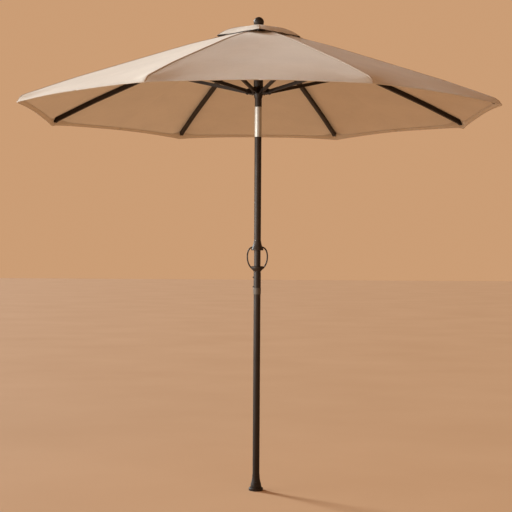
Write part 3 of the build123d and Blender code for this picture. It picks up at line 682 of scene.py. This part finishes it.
def canopy_gore(number):
    """One gore of the canopy, with its hems, ridge seam and stitches."""
    cloth = Canopy(pi / 8, CANOPY_INNER, CORNERS.get(number, USUAL_CORNER), CANOPY_MIDDLE, RIDGE_ROUNDING)
    azimuth = radians(22.5 + 45 * (number - 1))
    panel, flat, area = sheet_of(cloth, f"canopy_panel_{number}", azimuth, rows=74, columns=49)
    hem = hem_of(cloth, f"canopy_hem_{number}", azimuth, width=0.027, columns=61)
    crown = hem_of(
        cloth,
        f"canopy_crown_hem_{number}",
        azimuth,
        width=0.02,
        columns=21,
        inner=True,
        # the crown hem in the darker canvas: painted shade round the vent gap
        material=PAINTED_SHADE_CANVAS,
    )
    seam = seam_of(cloth, f"canopy_seam_{number}", azimuth, half_width=0.0048, height=0.0024, rows=90)
    thread = stitches(
        f"canopy_stitches_{number}",
        [
            along_rim(cloth, azimuth, 0.0235, TOP_THREAD),
            along_rim(cloth, azimuth, 0.0235, HEM_THREAD),
            along_rim(cloth, azimuth, 0.0045, HEM_THREAD),
            along_ridge(cloth, azimuth, -0.0065, TOP_THREAD, 0.06),
            along_ridge(cloth, azimuth, 0.0098, TOP_THREAD, 0.06),
        ],
    )
    for made in (panel, hem, crown, seam, thread):
        fit(made, f"rib_{number}")
    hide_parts(f"canopy_gore_{number}")


for number in range(1, 9):
    canopy_gore(number)

# ---------------------------------------------------------------- vent cap
CAP = VentCap(pi / 4, 0.046, 0.234, 0.2325, 0.006)


def vent_gore(number):
    """One gore of the vent cap, with its dark binding, whose darkness is painted shade of the gap under the
    cap's edge, and its ridge seam and stitches.
    """
    azimuth = radians(90 * (number - 1))
    panel, flat, area = sheet_of(CAP, f"vent_panel_{number}", azimuth, rows=30, columns=33)
    # the hem in the dark binding: painted shade of the gap under the cap's edge
    hem = hem_of(CAP, f"vent_hem_{number}", azimuth, width=0.016, columns=33, material=PAINTED_SHADE_BINDING)
    seam = seam_of(CAP, f"vent_seam_{number}", azimuth, half_width=0.0038, height=0.0018, rows=40)
    thread = stitches(
        f"vent_stitches_{number}",
        [
            along_rim(CAP, azimuth, 0.0135, TOP_THREAD),
            along_rim(CAP, azimuth, 0.0135, HEM_THREAD),
            along_ridge(CAP, azimuth, -0.0052, TOP_THREAD, 0.03),
            along_ridge(CAP, azimuth, 0.0078, TOP_THREAD, 0.03),
        ],
    )
    for made in (panel, hem, seam, thread):
        fit(made, f"vent_{number}")
    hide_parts(f"vent_gore_{number}")


for number in range(1, 5):
    vent_gore(number)

# each ring of the patch is its distance along an arm and its lift off the panels
PATCH_REACH = 0.0565
PATCH_RINGS = [
    (0.0065, 0.0018),
    (0.02, 0.002),
    (0.04, 0.002),
    (0.055, 0.0018),
    (PATCH_REACH, 0.0012),
    (0.055, 0.0006),
    (0.04, 0.0006),
    (0.02, 0.0006),
    (0.0065, 0.0006),
]
PATCH_SIDES = 96
PATCH_POWER = 1.2  # 1 is a square with its corners on the arms, 2 a circle


def crown_patch():
    """The patch that holds the cap's four panels round the finial: a rounded square ring."""
    around = np.arange(PATCH_SIDES) * 2 * pi / PATCH_SIDES
    ahead, aside = np.abs(np.cos(around)), np.abs(np.sin(around))
    squareness = (ahead**PATCH_POWER + aside**PATCH_POWER) ** (-1 / PATCH_POWER)
    points, uv = [], []
    for distance, lift in PATCH_RINGS:
        radius = distance * (1 + (squareness - 1) * distance / PATCH_REACH)
        x, y = radius * np.cos(around), radius * np.sin(around)
        level = CAP.height(0, radius * (ahead + aside), 1) + lift
        points.append(np.stack([x, y, level], -1))
        uv.append(np.stack([x, y + lift], -1))
    faces = grid_faces(len(PATCH_RINGS), PATCH_SIDES, True)
    last = (len(PATCH_RINGS) - 1) * PATCH_SIDES
    for c in range(PATCH_SIDES):
        d = (c + 1) % PATCH_SIDES
        faces.append((last + c, last + d, d, c))
    return piece("vent_crown_patch", np.concatenate(points), faces, CANVAS, np.concatenate(uv))


patch = crown_patch()
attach(patch, "mast")

# ---------------------------------------------------------------- lift cord
# inside the mast, up from the winch, over the crown pulley and down to the runner, as (y, z)
CORD_ROUTE = [
    (0.0132, 1.350),
    (0.0132, 1.500),
    (0.0025, 1.800),
    (0.0025, 2.300),
    (0.0025, 2.468),
    (0.0025, 2.4805),
    (-0.010, 2.4805),
    (-0.0225, 2.4805),
    (-0.0225, 2.468),
    (-0.0225, 2.445),
]
CORD_END_Z = 2.241  # where the runner holds it
CORD_R = 0.0015
SIDES = 12
RINGS = 60

line = bpy.data.curves.new("lift_cord_inner", "CURVE")
line.dimensions = "3D"
spline = line.splines.new("NURBS")
spline.points.add(len(CORD_ROUTE) - 1)
for point, (y, z) in zip(spline.points, CORD_ROUTE):
    point.co = (0, y, z, 1)
spline.order_u = 3
spline.use_endpoint_u = True
line.resolution_u = 8
line.bevel_depth = CORD_R
line.bevel_resolution = 3
line.use_fill_caps = True
line.materials.append(CORD)
inner_cord = bpy.data.objects.new("lift_cord_inner", line)
bpy.context.scene.collection.objects.link(inner_cord)
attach(inner_cord, "mast")

# the run from the pulley's outlet to the runner, a mesh of one fixed length; on the real umbrella this run
# grows as the runner goes down
cord_y, cord_top_z = CORD_ROUTE[-1]
turn = np.arange(SIDES) * 2 * pi / SIDES
heights = np.linspace(cord_top_z, CORD_END_Z, RINGS)[:, None]
around_x, around_y = CORD_R * np.cos(turn), cord_y + CORD_R * np.sin(turn)
rings = np.stack(np.broadcast_arrays(around_x, around_y, heights), -1)
ring_uv = np.stack(np.broadcast_arrays(CORD_R * turn, heights), -1)
outer_cord = band("lift_cord_outer", rings, ring_uv, CORD)
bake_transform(outer_cord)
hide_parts("lift_cord")

# ---------------------------------------------------------------- floor and surroundings
floor_material, tree, bsdf = new_material("floor")
place = add(tree, "ShaderNodeTexCoord").outputs["Object"]
cloud = noise(tree, place, 0.7, 3)
tone = ramp(tree, cloud, [(0.3, (0.56, 0.34, 0.185)), (0.7, (0.59, 0.365, 0.205))])
tree.links.new(tone, bsdf.inputs["Base Color"])
bsdf.inputs["Roughness"].default_value = 0.9
bsdf.inputs["Specular IOR Level"].default_value = 0.2
FLOOR_HALF = 60
floor_corners = [(FLOOR_HALF * x, FLOOR_HALF * y, 0) for x, y in ((-1, -1), (1, -1), (1, 1), (-1, 1))]
floor = piece("floor", floor_corners, [(0, 1, 2, 3)], floor_material)

world = bpy.data.worlds.new("studio")
world.use_nodes = True
bpy.context.scene.world = world
tree = world.node_tree
direction = add(tree, "ShaderNodeTexCoord").outputs["Generated"]
height = add(tree, "ShaderNodeSeparateXYZ", Vector=direction).outputs[2]
level = math(tree, "ABSOLUTE", height, 0.0)
glow = ramp(tree, level, [(0.22, (0.6, 0.34, 0.18)), (0.5, (0.235, 0.112, 0.056))])
tree.links.new(glow, tree.nodes["Background"].inputs["Color"])
tree.nodes["Background"].inputs["Strength"].default_value = 1.0
